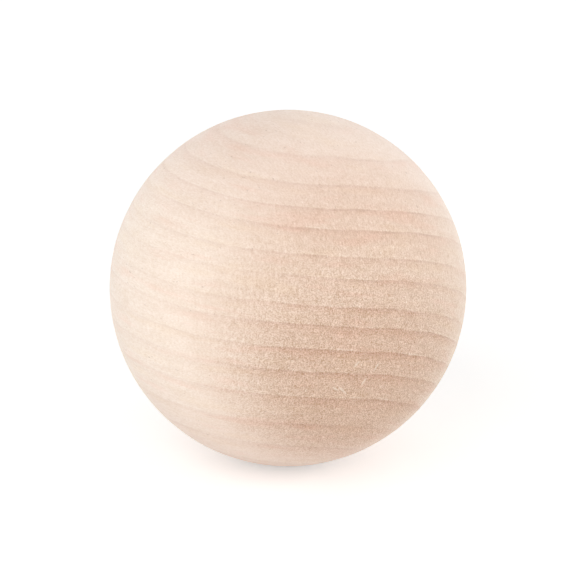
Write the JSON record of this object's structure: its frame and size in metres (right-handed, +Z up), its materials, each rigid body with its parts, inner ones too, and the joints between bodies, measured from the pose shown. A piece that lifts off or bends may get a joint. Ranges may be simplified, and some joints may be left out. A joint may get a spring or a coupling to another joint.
{
  "type": "wooden ball",
  "caption": "Solid turned wooden ball, a plain sphere of bare pale hardwood with no hole or flat, for craft, display or bench use.",
  "frame": {"origin": "centre of the ball", "axes": "+Z up; the ball is the same about every axis through its centre"},
  "size_m": [0.076, 0.076, 0.076],
  "materials": {
    "bare_wood": "matte"
  },
  "bodies": {
    "root": {"ball": "bare_wood"}
  },
  "joints": []
}
